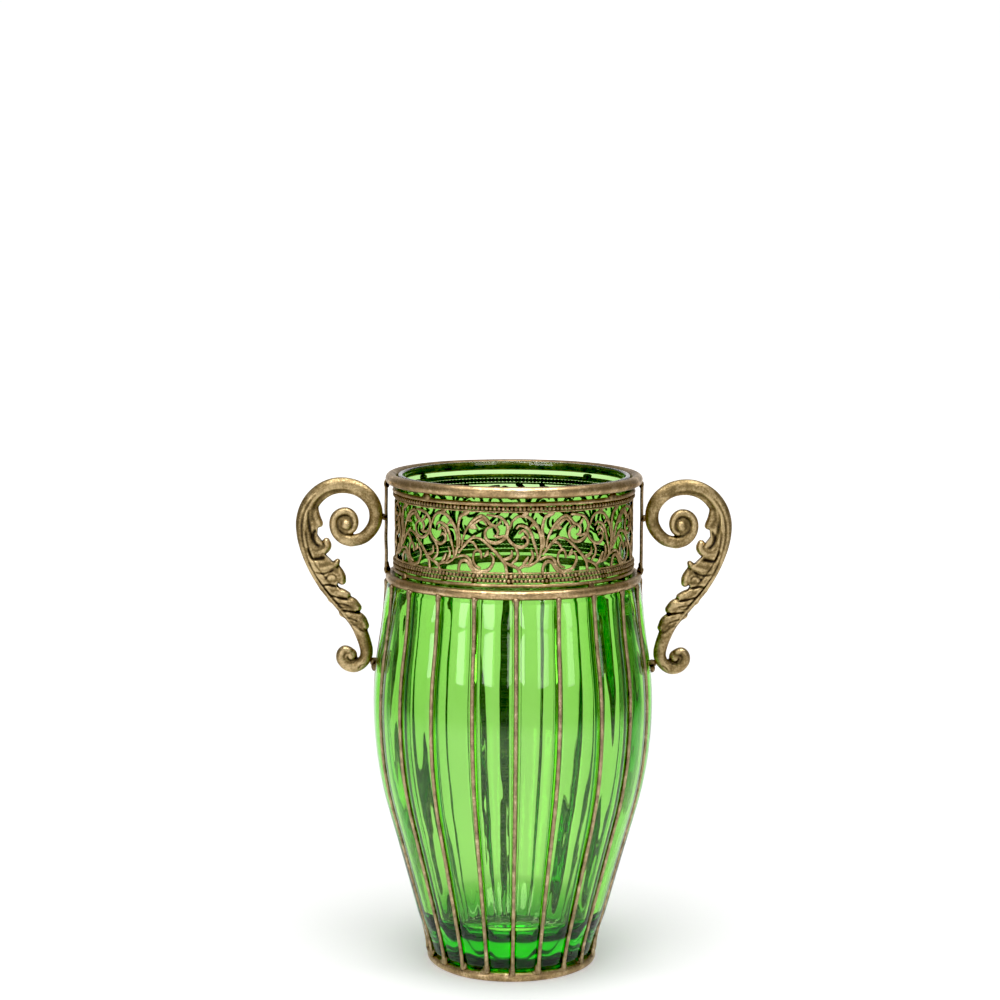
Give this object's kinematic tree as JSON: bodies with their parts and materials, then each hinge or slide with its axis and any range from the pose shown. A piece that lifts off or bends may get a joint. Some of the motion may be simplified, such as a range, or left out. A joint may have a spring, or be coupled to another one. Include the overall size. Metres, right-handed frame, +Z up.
{
  "type": "flower vase",
  "caption": "Tall glass flower vase blown into a wire cage, with a pierced scrollwork neck band and cast scroll handles.",
  "frame": {"origin": "on the standing plane, on the vessel's axis", "axes": "+Z up along the vessel's axis; +X through the right handle; the front faces -Y"},
  "size_m": [0.32, 0.2026, 0.36],
  "materials": {
    "green_glass": "clear bright green blown glass",
    "cage_brass": "antique brass, satin, brushed with dark patina",
    "rib_brass": "antique brass wire, paler and pinker, with dark patches",
    "filigree_brass": "pierced antique brass with near-black recesses",
    "cast_brass": "cast antique brass, olive gold, dark in its hollows",
    "solder": "dark patinated solder"
  },
  "bodies": {
    "root": {"glass_vessel": "green_glass", "mouth_ring": "cage_brass", "upper_collar_wire": "cage_brass", "upper_bead_wire": "filigree_brass", "filigree_band": "filigree_brass", "lower_bead_wire_1": "filigree_brass", "lower_bead_wire_2": "filigree_brass", "lower_collar_wire": "cage_brass", "shoulder_ring": "cage_brass", "base_ring": "cage_brass", "rib_01": "rib_brass", "rib_02": "rib_brass", "rib_03": "rib_brass", "rib_04": "rib_brass", "rib_05": "rib_brass", "rib_06": "rib_brass", "rib_07": "rib_brass", "rib_08": "rib_brass", "rib_09": "rib_brass", "rib_10": "rib_brass", "rib_11": "rib_brass", "rib_12": "rib_brass", "rib_13": "rib_brass", "rib_14": "rib_brass", "rib_15": "rib_brass", "rib_16": "rib_brass", "rib_17": "rib_brass", "rib_18": "rib_brass", "rib_19": "rib_brass", "rib_20": "rib_brass", "strut_left": "rib_brass", "strut_right": "rib_brass", "handle_left": "cast_brass", "handle_right": "cast_brass", "collar_solder": "solder", "strut_solder": "solder", "rib_top_solder": "solder", "rib_foot_solder": "solder", "handle_solder_left": "solder", "handle_solder_right": "solder"}
  },
  "joints": []
}
